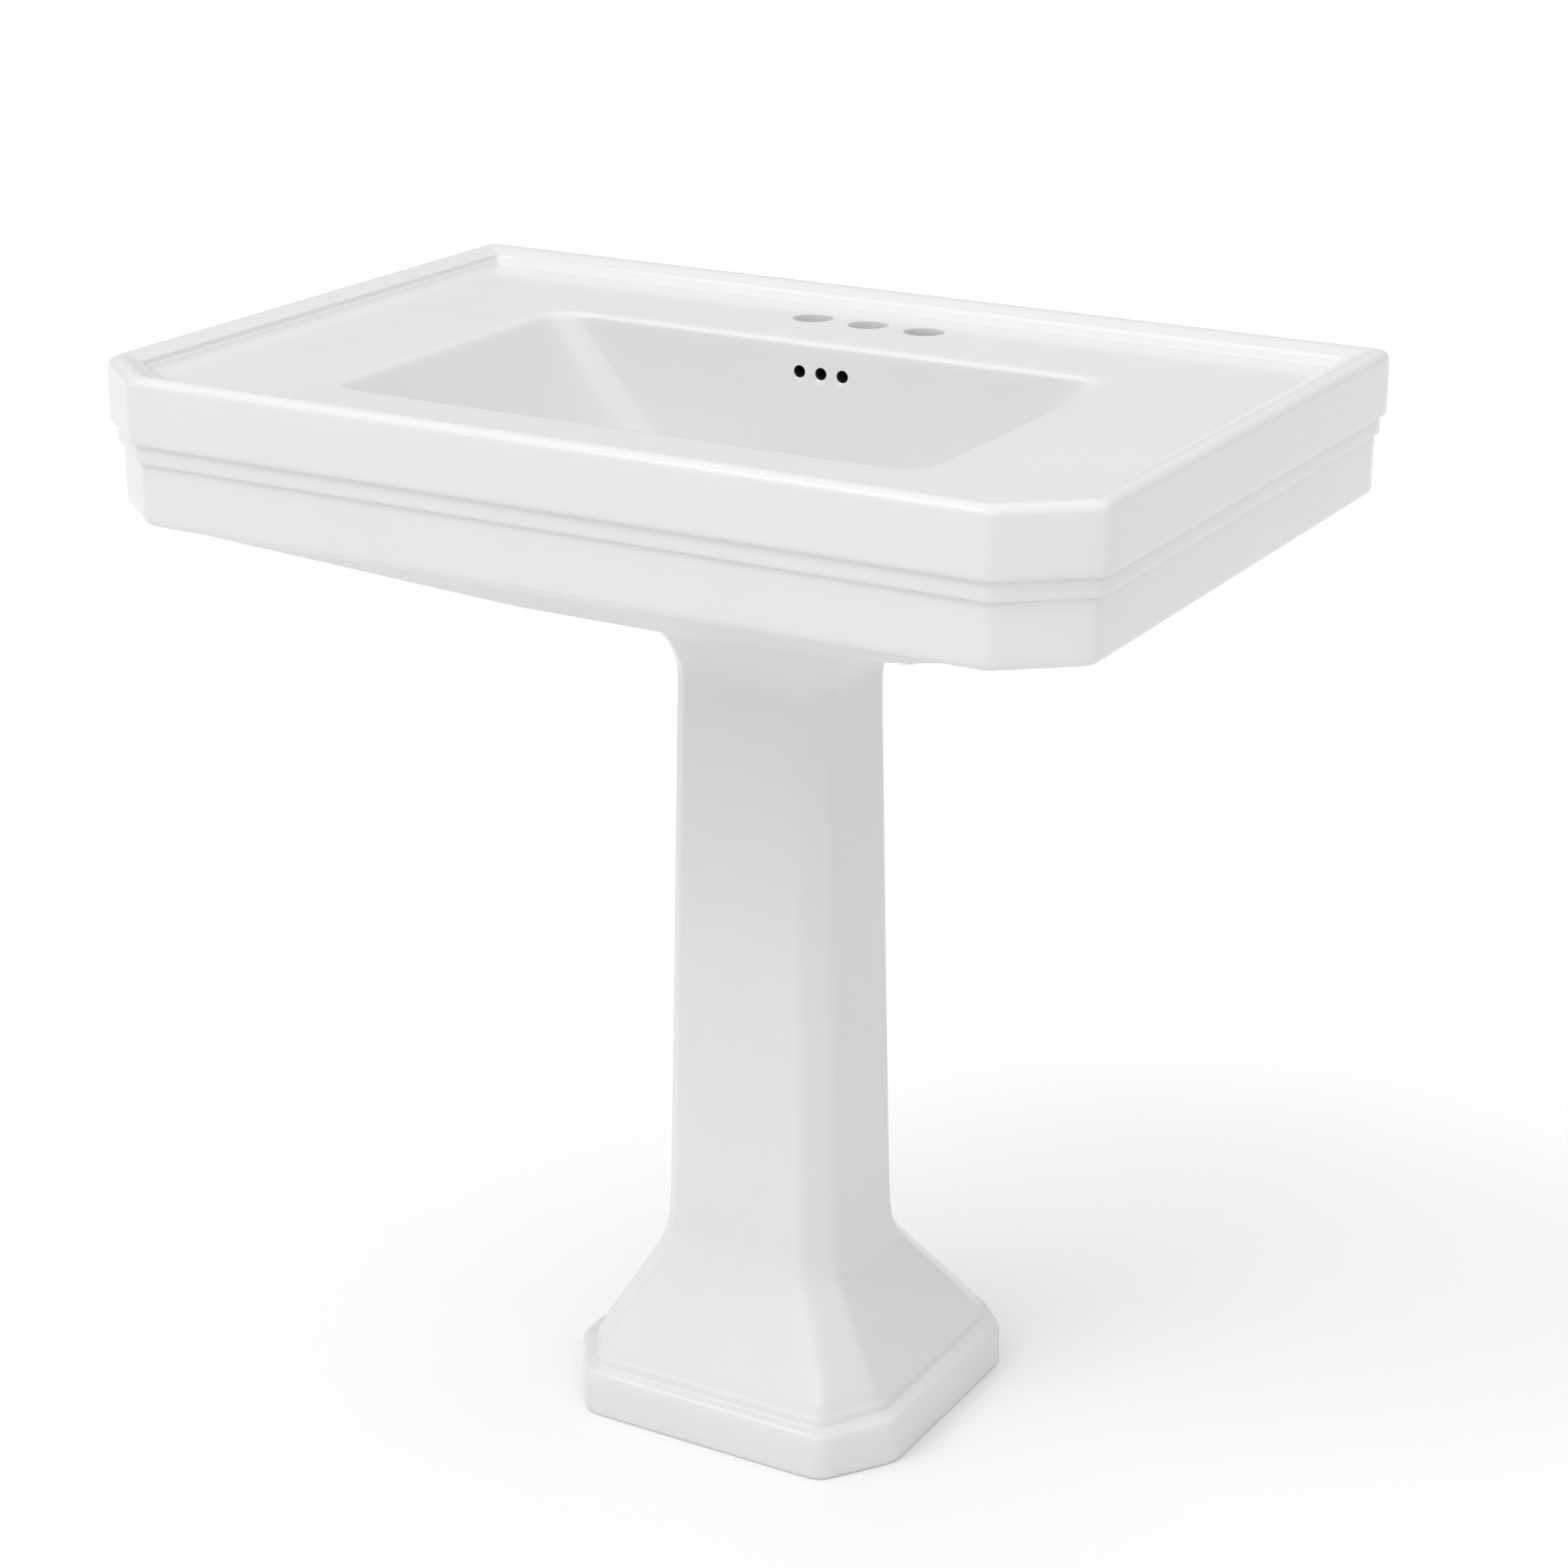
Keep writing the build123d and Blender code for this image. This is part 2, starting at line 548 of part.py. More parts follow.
OUTLET_Y = DRAIN_Y + 2 * TRAP_BEND_R
nodes = {
    "basin": basin(),
    "pedestal": pedestal(),
    "support_pads": support_pads(),
    "drain_body": drain_body(),
    "drain_flange_seal": at_drain(30, DRAIN_BARREL_R + 0.2, DRAIN_SEAT_Z,
                                  DRAIN_SEAT_Z + FLANGE_SEAL_T),
    "drain_gasket": at_drain(GASKET_R, DRAIN_BARREL_R, SLIP_WASHER_TOP, PAN_FLAT_Z),
    "drain_slip_washer": at_drain(GASKET_R, DRAIN_BARREL_R + 0.2, LOCKNUT_Z[1], SLIP_WASHER_TOP),
    "drain_locknut": hex_nut(58, DRAIN_BARREL_R, *LOCKNUT_Z, 0, DRAIN_Y),
    "stopper_cap": stopper_cap(),
    "stopper_seal": at_drain(19.0, STEM_NECK_R + 0.2, STOPPER_SEAL_Z, CAP_Z[0]),
    "stopper_stem": stopper_stem(),
    "stopper_cartridge": stopper_cartridge(),
    "stopper_spring": at_drain(*SPRING_R, LEDGE_Z[1] + HUB_FLOOR, STEM_BOTTOM),
    "tailpiece": tailpiece(),
    "tailpiece_seal": at_drain(COLLAR_R, DRAIN_BARREL_BORE_R, COLLAR_Z[1], BARREL_BOTTOM),
    "trap_inlet_nut": slip_nut(TRAP_INLET_TOP, DRAIN_Y),
    "trap_inlet_washer": slip_washer(TRAP_INLET_TOP, DRAIN_Y),
    "trap_j_bend": trap_j_bend(),
    "trap_outlet_nut": slip_nut(TRAP_OUTLET_TOP, OUTLET_Y),
    "trap_outlet_washer": slip_washer(TRAP_OUTLET_TOP, OUTLET_Y),
    "trap_arm": trap_arm(),
    "wall_escutcheon": wall_escutcheon(),
    "hanger_bolts": at_hangers(hanger_bolt),
    "hanger_sleeves": at_hangers(hanger_sleeve),
    "hanger_washers": at_hangers(hanger_washer),
    "hanger_nuts": at_hangers(hanger_nut),
}
for node, shape in nodes.items():
    save(shape, node)
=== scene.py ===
import json
import math

import bmesh
import bpy
from mathutils import Matrix, Vector


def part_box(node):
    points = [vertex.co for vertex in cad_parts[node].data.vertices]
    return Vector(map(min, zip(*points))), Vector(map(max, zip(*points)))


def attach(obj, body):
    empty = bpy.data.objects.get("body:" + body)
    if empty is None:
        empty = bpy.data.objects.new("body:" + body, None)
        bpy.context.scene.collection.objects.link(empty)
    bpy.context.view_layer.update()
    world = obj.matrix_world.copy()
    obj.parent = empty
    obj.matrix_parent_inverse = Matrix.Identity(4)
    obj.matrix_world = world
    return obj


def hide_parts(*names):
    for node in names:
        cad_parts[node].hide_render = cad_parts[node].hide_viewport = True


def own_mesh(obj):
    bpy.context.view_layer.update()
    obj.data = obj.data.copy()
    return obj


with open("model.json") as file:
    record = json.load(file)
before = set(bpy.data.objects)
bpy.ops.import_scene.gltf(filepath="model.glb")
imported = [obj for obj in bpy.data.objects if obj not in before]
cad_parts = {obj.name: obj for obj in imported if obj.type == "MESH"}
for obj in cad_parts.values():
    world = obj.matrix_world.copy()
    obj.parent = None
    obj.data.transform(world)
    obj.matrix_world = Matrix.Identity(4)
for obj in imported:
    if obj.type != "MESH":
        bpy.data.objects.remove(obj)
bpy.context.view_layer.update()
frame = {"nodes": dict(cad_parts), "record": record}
record = frame["record"]
mounts = {m["name"]: m for m in record["mounts"]}

# Pieces are shaped in millimetres and brought to metres when they are finished.
# X runs across the sink, Y from the user (-) to the wall (+), Z is up from the floor.
MM = 0.001


def size_mm(node):
    """Low and high corner of a CAD node, in millimetres."""
    low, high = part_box(node)
    return low / MM, high / MM


basin_low, basin_high = size_mm("basin")
foot_low, foot_high = size_mm("pedestal")

# ---- basin: sizes that shape the china ----
HALF_W = basin_high.x
FRONT_Y = basin_low.y
WALL_Y = basin_high.y
RIM_Z = basin_high.z
CORNER_X = 63.0            # front corner chamfer, along X and along Y
CORNER_Y = 51.0
CORNER_BEND = 10.0         # length of the bend at the plan's corners: in the deck,
MOULDING_BEND = 6.0        # in the moulding inside the rim,
APRON_BEND = 8.0           # and in the rim and apron
RIM_R = 9.0                # outer top edge of the rim
BANDS = (                  # apron bands: set-back, lower edge, rounding of that edge
    (0.0, RIM_Z - 52.5, 4.5),
    (4.8, RIM_Z - 67.5, 3.5),
    (8.6, RIM_Z - 116.0, 6.5),
)
APRON_INSET, APRON_Z = BANDS[-1][:2]
DECK_Z = RIM_Z - 13.6
DECK_INSET = 44.0          # where the cove inside the rim has melted into the deck
LIP_DROP = 1.2             # the deck falls this much towards the bowl,
LIP_REACH = 60.0           # over this distance
LIP_T = 8.0                # length of the bend from deck into bowl
CREASE_T = 18.0            # length of the bend from bowl wall into bowl floor
BOWL_X = 250.0             # bowl's mouth: half width, front and back, corner radius
BOWL_Y = (-244.0, 65.0)
BOWL_R = 26.0
FLOOR_X = 138.0            # bowl's floor, in the same way
FLOOR_Y = (-145.0, 52.0)
FLOOR_R = 34.0
FLOOR_Z = RIM_Z - 145.0
SIDE_NET_X = 300.0         # outermost line of the deck's net between bowl and rim
HULL_TOP = (322.0, -334.5, 199.0)       # hipped underside: half width, front, back
HULL_FLAT = (132.0, -161.0, 90.0)
HULL_Z = basin_low.z
HULL_BEND = 5.0            # spacing of the net's points at the underside's corners
CHINA_T = 12.0
BOWL_SLOPE_T = 13.0        # wall of the bowl at its mouth, measured level
SERVICE_X = 170.0          # opening behind the bowl: half width and front
SERVICE_Y = 94.0

TAP_R = mounts["tap_holes"]["dims"]["hole_r_mm"]
TAP_PITCH = mounts["tap_holes"]["dims"]["spacing_x_mm"] / 2
TAP_Y = mounts["tap_holes"]["pos_m"][1] / MM
TAP_BLOCK = 20.0           # half side of the square patch of deck round a tap hole
DRAIN_Y = sum(v.y for v in size_mm("drain_body")) / 2
FLANGE_R = (size_mm("drain_body")[1].x - size_mm("drain_body")[0].x) / 2
SEAT_Z = size_mm("drain_flange_seal")[0].z
DRAIN_R = 22.0             # bore that the drain's body goes through
DISH_RINGS = ((62.0, -0.5), (46.0, -1.1))      # the floor dips to the drain: radius, drop
STUD_X = mounts["wall_studs"]["dims"]["spacing_x_mm"] / 2
STUD_Z = mounts["wall_studs"]["pos_m"][2] / MM
STUD_HOLE_R = 7.3

OVERFLOW_Z = RIM_Z - 39.0
OVERFLOW_PITCH = 19.3
OVERFLOW_R = 5.0
OVERFLOW_MOUTH_R = 7.6     # the hole's soft mouth narrows from this
OVERFLOW_THROAT_R = 4.4    # to this
DUCT_X = 24.0              # overflow duct: half width, depth, top and foot
DUCT_DEPTH = 9.0
DUCT_TOP = RIM_Z - 32.0
DUCT_FOOT = FLOOR_Z - 20.0
DUCT_WALL = 6.0            # china round the duct
DUCT_FRONT = 40.0          # the duct's block starts here, inside the bowl's wall

# ---- pedestal ----
SHAFT_X = 73.0             # half width and half depth of the slim shaft
SHAFT_Y = 64.0
SHAFT_CUT = 21.0           # its corner chamfer
CUT_SHRINK = 0.4           # a chamfer shrinks by this share of an inset
SKIRT_GROWTH = (56.0, 49.0, 74.0)       # the skirt's foot stands out this far: sides, front, back
SKIRT_CUT = (3.0, 25.0, 9.0)            # and its chamfers grow: along X, along Y, at the back
SKIRT_FOOT = (69.0, 0.93, 0.0107)       # height, spread there, and how fast it shrinks upwards
SHAFT_TAPER = (346.0, 0.058, 0.0003)    # the same for the shaft
SKIRT_COVE = 0.062         # how softly the one turns into the other
PLINTH_CUT = (41.0, 58.0, 35.0)         # plinth's chamfers: along X, along Y, at the back
PLINTH_Z = 41.5
SLOT_X = 44.0              # slot in the back: half width and foot
SLOT_Z = 58.0
SLOT_EDGE = 2.5            # width of the faces beside the slot
WALL_T = 11.0
HEAD_Z = 640.0             # the cove under the head starts here
HEAD_R = 62.0
HEAD_LIP = 52.0            # height of the cove
NECK = (1.66, 20.0)        # the cove starts this far inside the shaft, and makes it up in this height
FOOT_BEND = 15.0           # length over which the foot's upright edges turn,
MOULDING_TURN = 12.0       # those of the moulding on the plinth,
SHAFT_BEND = 8.5           # those of the shaft,
HEAD_BEND = 8.0            # those of the head's top edge,
INNER_BEND = 6.0           # and those of the inside
WEB_Y = 36.0               # half depth of the web across the foot

SHARP = math.radians(40)   # edges sharper than this stay crisp on the china
ROUND_SIDES = 48           # sides of a round cutting tool
PAST = 5.0                 # cutting tools reach this far past what they cut


# ---- mesh helpers ----
def extrude_loop(bm, loop, points):
    """Extrude a ring of vertices and put the new ring on the given points. Returns the new ring."""
    ends = zip(loop, loop[1:] + loop[:1])
    edges = [bm.edges.get(pair) or bm.edges.new(pair) for pair in ends]
    made = bmesh.ops.extrude_edge_only(bm, edges=edges)["geom"]
    fresh = {item for item in made if isinstance(item, bmesh.types.BMVert)}
    ring = [next(e.other_vert(v) for e in v.link_edges if e.other_vert(v) in fresh) for v in loop]
    for v, point in zip(ring, points):
        v.co = point
    return ring


def first_loop(bm, points):
    """A ring of new vertices, to be extruded."""
    return [bm.verts.new(point) for point in points]


def open_edge_loop(bm, inside):
    """The vertices round a hole in the mesh, in order, counter-clockwise seen from above.

    inside tells which boundary edges belong to the hole."""
    edges = [e for e in bm.edges if e.is_boundary and inside(e)]
    loop = [edges[0].verts[0]]
    edge = edges[0]
    while True:
        nxt = edge.other_vert(loop[-1])
        if nxt is loop[0]:
            break
        loop.append(nxt)
        edge = next(e for e in nxt.link_edges if e in edges and e is not edge)
    area = sum(a.co.x * b.co.y - b.co.x * a.co.y for a, b in zip(loop, loop[1:] + loop[:1]))
    return loop if area > 0 else loop[::-1]


def start_at(loop, point):
    """The same ring, starting at its vertex nearest to the point."""
    nearest = min(range(len(loop)), key=lambda i: (loop[i].co - Vector(point)).length)
    return loop[nearest:] + loop[:nearest]


def finish_mesh(bm, name, levels=1):
    """Face the mesh outwards, bring it to metres and smooth it."""
    bmesh.ops.recalc_face_normals(bm, faces=bm.faces)
    bmesh.ops.scale(bm, vec=(MM, MM, MM), verts=bm.verts)
    mesh = bpy.data.meshes.new(name)
    bm.to_mesh(mesh)
    bm.free()
    for polygon in mesh.polygons:
        polygon.use_smooth = True
    piece = bpy.data.objects.new(name, mesh)
    bpy.context.scene.collection.objects.link(piece)
    if levels:
        smooth = piece.modifiers.new("soft edges", "SUBSURF")
        smooth.levels = levels
        smooth.render_levels = levels
    return piece


def bake(piece):
    """Apply a piece's modifiers."""
    depsgraph = bpy.context.evaluated_depsgraph_get()
    mesh = bpy.data.meshes.new_from_object(piece.evaluated_get(depsgraph))
    piece.modifiers.clear()
    piece.data = mesh
    return piece


def carve(piece, tool, operation="DIFFERENCE"):
    """Cut a closed tool mesh out of a piece, or join it on, and throw the tool away."""
    cut = piece.modifiers.new("carve", "BOOLEAN")
    cut.operation = operation
    cut.solver = "EXACT"
    cut.object = tool
    bake(piece)
    bpy.data.objects.remove(tool)
    return piece


def rectangle(half_x, y0, y1):
    return [(half_x, y0), (half_x, y1), (-half_x, y1), (-half_x, y0)]


def six_sided(half_x, y0, y1, nick=2.0):
    """Rectangle with its front corners just cut off, its points in the order of basin_corners."""
    right = [(half_x - nick, y0), (half_x, y0 + nick), (half_x, y1)]
    return right + [(-x, y) for x, y in reversed(right)]


def tower(name, levels):
    """Closed block through plan outlines of equal point count, for cutting with."""
    bm = bmesh.new()
    rings = [[Vector((x, y, z)) for x, y in outline] for outline, z in levels]
    loop = first_loop(bm, rings[0])
    bm.faces.new(loop)
    for ring in rings[1:]:
        loop = extrude_loop(bm, loop, ring)
    bm.faces.new(loop)
    return finish_mesh(bm, name, levels=0)


def cylinder(name, radius, start, end, far_radius=None):
    """Round bar between two points, for cutting with."""
    bm = bmesh.new()
    start, end = Vector(start), Vector(end)
    length = (end - start).length
    bmesh.ops.create_cone(bm, cap_ends=True, segments=ROUND_SIDES, radius1=radius,
                          radius2=radius if far_radius is None else far_radius, depth=length)
    turn = (end - start).to_track_quat("Z", "Y").to_matrix()
    bmesh.ops.rotate(bm, matrix=turn, verts=bm.verts)
    bmesh.ops.translate(bm, vec=(start + end) / 2, verts=bm.verts)
    return finish_mesh(bm, name, levels=0)


def arc(inset, z, radius, start, end, steps):
    """Points on a round edge of the profile, angles in degrees, 0 at the top, 90 facing outwards."""
    turns = [math.radians(start + (end - start) * i / steps) for i in range(steps + 1)]
    return [(inset - radius * math.sin(a), z + radius * math.cos(a)) for a in turns]


# ---- basin ----
def basin_corners(inset, back_inset):
    """Six corners of the basin's plan, counter-clockwise from the right end of the front edge."""
    half = HALF_W - inset
    front = FRONT_Y + inset
    length = math.hypot(CORNER_X, CORNER_Y)
    reach = (CORNER_Y * (HALF_W - CORNER_X) - CORNER_X * FRONT_Y) / length - inset
    front_x = (length * reach + CORNER_X * front) / CORNER_Y
    side_y = (CORNER_Y * half - length * reach) / CORNER_X
    right = [(front_x, front), (half, side_y), (half, WALL_Y - back_inset)]
    return [Vector((x, y, 0)) for x, y in right + [(-x, y) for x, y in reversed(right)]]


def deck_lines():
    """X and Y lines of the deck's net: one square patch of four by four round each tap hole.

    The lines beside the patches only keep the net's faces near square."""
    steps = [TAP_BLOCK * k / 2 for k in range(-2, 3)]
    taps = [TAP_PITCH * i + step for i in (-1, 0, 1) for step in steps]
    sides = (110.0, 165.0, BOWL_X - BOWL_R, BOWL_X, SIDE_NET_X, HALF_W - DECK_INSET)
    xs = sorted(taps + [side * x for side in (-1, 1) for x in sides])
    ys = [FRONT_Y + DECK_INSET, BOWL_Y[0], BOWL_Y[0] + BOWL_R, -130.0, -40.0, BOWL_Y[1] - BOWL_R,
          BOWL_Y[1], *[TAP_Y + step for step in steps], WALL_Y - DECK_INSET]
    return xs, ys


def rim_ring(stations, inset, back_inset, z, bend):
    """Place every station of the basin's perimeter at one level of the rim or apron."""
    corners = basin_corners(inset, back_inset)
    points = []
    for kind, index, value in stations:
        here, there = corners[index], corners[(index + 1) % 6]
        if kind == "x":
            point = Vector((value, here.y, 0))
        elif kind == "y":
            point = Vector((here.x, value, 0))
        elif kind == "middle":
            point = (here + there) / 2
        elif kind == "corner":
            point = here.copy()
        elif kind == "after":
            point = here + (there - here).normalized() * bend
        else:
            point = there + (here - there).normalized() * bend
        point.z = z
        points.append(point)
    return points


def perimeter_stations(xs, ys):
    """Kinds of the perimeter's points, counter-clockwise from the corner (0) right of the front."""
    inner_x, inner_y = xs[1:-1], ys[1:-1]
    runs = [
        [("middle", 0, 0)],
        [("y", 1, y) for y in inner_y],
        [("x", 2, x) for x in reversed(inner_x)],
        [("y", 3, y) for y in reversed(inner_y)],
        [("middle", 4, 0)],
        [("x", 5, x) for x in inner_x],
    ]
    stations = []
    for k, run in enumerate(runs):
        stations += [("corner", k, 0), ("after", k, 0), *run, ("before", k, 0)]
    return stations


def hull_ring(stations, share, z, grow):
    """Place every station on the hipped underside; share runs from its top (0) to its flat (1).

    The underside has plain corners, so the stations of a front chamfer close up round one corner."""
    half, front, back = [a + (b - a) * share for a, b in zip(HULL_TOP, HULL_FLAT)]
    half, front, back = half + grow, front - grow, back + grow
    wide = (half - 3.5 * HULL_BEND) / SIDE_NET_X
    low, high = front + 3.5 * HULL_BEND, back - 1.5 * HULL_BEND
    span = TAP_Y + TAP_BLOCK - BOWL_Y[0]
    steps = {("before", 5): (-3, 0), ("corner", 0): (-2, 0), ("after", 0): (-1, 0),
             ("middle", 0): (0, 0), ("before", 0): (0, 1), ("corner", 1): (0, 2),
             ("after", 1): (0, 3)}
    points = []
    for kind, index, value in stations:
        left = index in (3, 4) or (index, kind) in ((2, "before"), (5, "corner"), (5, "after"))
        side = -1 if left else 1
        mirror_kind = {"before": "after", "after": "before"}.get(kind, kind)
        mirror_index = (5 - index) % 6 if kind == "corner" else (4 - index) % 6
        key = (mirror_kind, mirror_index) if left else (kind, index)
        if kind == "x":
            point = Vector((value * wide, front if index == 5 else back, z))
        elif kind == "y":
            y = low + (value - BOWL_Y[0]) / span * (high - low)
            point = Vector((side * half, y, z))
        elif key in steps:
            step_x, step_y = steps[key]
            point = Vector((side * (half + step_x * HULL_BEND), front + step_y * HULL_BEND, z))
        else:
            step_x = HULL_BEND if kind == ("before" if left else "after") else 0
            step_y = HULL_BEND if kind == ("after" if left else "before") else 0
            point = Vector((side * (half - step_x), back - step_y, z))
        points.append(point)
    return points


def bowl_stations(loop):
    """Where each vertex of the bowl's ring sits: share along X and Y, or angle round a corner."""
    found = []
    flat_x = BOWL_X - BOWL_R
    flat_y = (BOWL_Y[0] + BOWL_R, BOWL_Y[1] - BOWL_R)
    for v in loop:
        x, y = v.co.x, v.co.y
        side_x = 1 if x > 0 else -1
        side_y = 1 if y > (BOWL_Y[0] + BOWL_Y[1]) / 2 else -1
        over_x = abs(x) - flat_x
        over_y = y - flat_y[1] if side_y > 0 else flat_y[0] - y
        if over_x >= -0.01 and over_y >= -0.01:
            walked = over_y + (BOWL_R - over_x)
            found.append(("corner", side_x, side_y, math.pi / 2 * walked / (2 * BOWL_R)))
        elif over_x < 0:
            found.append(("end", x / flat_x, side_y, 0))
        else:
            share = (y - flat_y[0]) / (flat_y[1] - flat_y[0])
            found.append(("side", side_x, share, 0))
    return found


def bowl_point(station, half, ends, radius):
    """Plan point of a station on a rounded rectangle, and the outward direction there."""
    kind, a, b, angle = station
    if kind == "end":
        return Vector((a * (half - radius), ends[0] if b < 0 else ends[1], 0)), Vector((0, b, 0))
    if kind == "side":
        low, high = ends[0] + radius, ends[1] - radius
        return Vector((a * half, low + b * (high - low), 0)), Vector((a, 0, 0))
    out = Vector((a * math.cos(angle), b * math.sin(angle), 0))
    middle = Vector((a * (half - radius), (ends[0] + radius) if b < 0 else (ends[1] - radius), 0))
    return middle + out * radius, out


def bowl_rings(stations):
    """Rings from the deck over the lip, down the sloping walls and round into the floor."""
    lip_z = DECK_Z - LIP_DROP
    rings = [[] for _ in range(11)]
    for station in stations:
        top, out = bowl_point(station, BOWL_X, BOWL_Y, BOWL_R)
        floor, _ = bowl_point(station, FLOOR_X, FLOOR_Y, FLOOR_R)
        top.z, floor.z = lip_z, FLOOR_Z
        down = (floor - top).normalized()
        length = (floor - top).length
        heights = (LIP_T / 3, LIP_T, 0.25 * length, 0.5 * length, 0.75 * length,
                   length - CREASE_T, length - CREASE_T / 3)
        wall = [top + down * h for h in heights]
        deck = [top + out * LIP_T, top + out * (LIP_T / 3)]
        flat = [floor - out * (CREASE_T / 3), floor - out * CREASE_T]
        for ring, point in zip(rings, deck + wall + flat):
            ring.append(point)
    return rings


def drain_rings(count):
    """Rings from the bowl floor to the recess that holds the drain's flange."""
    recess = FLANGE_R + 1.5
    seat = SEAT_Z - FLOOR_Z
    levels = (*DISH_RINGS, (recess + 3.0, -1.6), (recess + 0.8, -1.9), (recess, -2.8),
              (recess, seat + 1.0), (recess - 0.8, seat), (recess - 6.0, seat),
              (DRAIN_R + 0.8, seat), (DRAIN_R, seat - 1), (DRAIN_R, seat - 5))
    rings = []
    for radius, drop in levels:
        ring = []
        for i in range(count):
            angle = 2 * math.pi * i / count - math.pi / 2
            ring.append(Vector((radius * math.cos(angle), DRAIN_Y + radius * math.sin(angle),
                                FLOOR_Z + drop)))
        rings.append(ring)
    return rings


def deck_net(bm):
    """The flat deck as a net of quads with the bowl and the tap holes left open."""
    xs, ys = deck_lines()
    bmesh.ops.create_grid(bm, x_segments=len(xs) - 1, y_segments=len(ys) - 1, size=1)
    columns = sorted({round(v.co.x, 5) for v in bm.verts})
    rows = sorted({round(v.co.y, 5) for v in bm.verts})
    for v in bm.verts:
        v.co.x = xs[columns.index(round(v.co.x, 5))]
        v.co.y = ys[rows.index(round(v.co.y, 5))]
        away = max(abs(v.co.x) - BOWL_X, BOWL_Y[0] - v.co.y, v.co.y - BOWL_Y[1], 0)
        v.co.z = DECK_Z - LIP_DROP * max(0.0, 1 - away / LIP_REACH)

    def in_hole(face):
        c = face.calc_center_median()
        bowl = abs(c.x) < BOWL_X and BOWL_Y[0] < c.y < BOWL_Y[1]
        near = min(abs(c.x - TAP_PITCH * i) for i in (-1, 0, 1))
        return bowl or (near < TAP_BLOCK and abs(c.y - TAP_Y) < TAP_BLOCK)

    holes = [f for f in bm.faces if in_hole(f)]
    bmesh.ops.delete(bm, geom=holes, context="FACES")
    return xs, ys


def split_edges(bm, wanted, cuts):
    """Cut each edge whose middle passes the test into equal lengths."""
    edges = [e for e in bm.edges if wanted((e.verts[0].co + e.verts[1].co) / 2)]
    bmesh.ops.subdivide_edges(bm, edges=edges, cuts=cuts)


def basin_net():
    """Outer skin of the basin as one closed net."""
    bm = bmesh.new()
    xs, ys = deck_net(bm)
    edge_x, edge_y0, edge_y1 = xs[-1], ys[0], ys[-1]

    def at_edge(p):
        return abs(p.x) > edge_x - 0.1 or p.y < edge_y0 + 0.1 or p.y > edge_y1 - 0.1

    def front_corner(p):
        return at_edge(p) and abs(p.x) > xs[-2] and p.y < ys[1]

    def back_corner(p):
        return at_edge(p) and abs(p.x) > xs[-2] and p.y > ys[-2]

    def bowl_corner(p):
        on_x = abs(abs(p.x) - BOWL_X) < 0.1 and not BOWL_Y[0] + BOWL_R < p.y < BOWL_Y[1] - BOWL_R
        on_y = min(abs(p.y - y) for y in BOWL_Y) < 0.1 and abs(p.x) > BOWL_X - BOWL_R
        inside = abs(p.x) < BOWL_X + 1 and BOWL_Y[0] - 1 < p.y < BOWL_Y[1] + 1
        return inside and (on_x or on_y)

    split_edges(bm, front_corner, 3)
    split_edges(bm, back_corner, 1)
    split_edges(bm, bowl_corner, 1)

    outer = open_edge_loop(bm, lambda e: all(at_edge(v.co) for v in e.verts))
    stations = perimeter_stations(xs, ys)
    corner = Vector((xs[-2] + (edge_x - xs[-2]) / 2, edge_y0, DECK_Z))
    outer = start_at(outer, corner)
    for v, point in zip(outer, rim_ring(stations, DECK_INSET, DECK_INSET, DECK_Z, CORNER_BEND)):
        v.co = point

    for level in rim_levels():
        outer = extrude_loop(bm, outer, rim_ring(stations, *level))
    for share, z, grow in hull_levels():
        outer = extrude_loop(bm, outer, hull_ring(stations, share, z, grow))
    bm.faces.new(outer)

    def near_bowl(e):
        return all(abs(v.co.x) < BOWL_X + 1 and v.co.y < BOWL_Y[1] + 1 and v.co.z > HULL_Z + 50
                   for v in e.verts)

    bowl = start_at(open_edge_loop(bm, near_bowl), (0, BOWL_Y[0], DECK_Z))
    rings = bowl_rings(bowl_stations(bowl))
    for v, point in zip(bowl, rings[0]):
        v.co = point
    for ring in rings[1:] + drain_rings(len(bowl)):
        bowl = extrude_loop(bm, bowl, ring)
    bm.faces.new(bowl)

    for i in (-1, 0, 1):
        tap_hole(bm, Vector((i * TAP_PITCH, TAP_Y, DECK_Z)))
    return bm


def rim_levels():
    """Profile of the rim and apron from the deck outwards: inset, inset at the wall, height, bend."""
    moulding = [(40.0, 0.15), (36.5, 0.6), (34.0, 1.35), (32.0, 2.35), (30.3, 3.6), (29.2, 4.75),
                (28.5, 5.3), (27.9, 5.5), (27.2, 5.7), (26.6, 6.3), (25.3, 8.2), (24.8, 8.9),
                (24.35, 9.2), (23.4, 9.45), (20.0, 10.7), (15.5, 12.4), (12.0, 13.4)]
    levels = [(inset, inset, DECK_Z + rise, MOULDING_BEND) for inset, rise in moulding]
    crest = arc(RIM_R, RIM_Z - RIM_R, RIM_R, 0, 90, 5)
    levels += [(inset, inset * 0.6, z, APRON_BEND) for inset, z in crest]
    face_top = RIM_Z - RIM_R
    for k, (inset, bottom, radius) in enumerate(BANDS):
        lower = arc(inset + radius, bottom + radius, radius, 90, 180, 4)
        middle = (face_top + bottom + radius) / 2
        levels += [(inset, 0, middle, APRON_BEND)]
        levels += [(i, 0, z, APRON_BEND) for i, z in lower[:-1]]
        if k < len(BANDS) - 1:
            groove = BANDS[k + 1][0]
            levels += [(groove - 0.15, 0, bottom + 0.05, APRON_BEND),
                       (groove, 0, bottom - 0.9, APRON_BEND)]
            face_top = bottom - 1.5
        else:
            levels += [(inset + radius, 1.5, bottom, APRON_BEND)]
    return levels


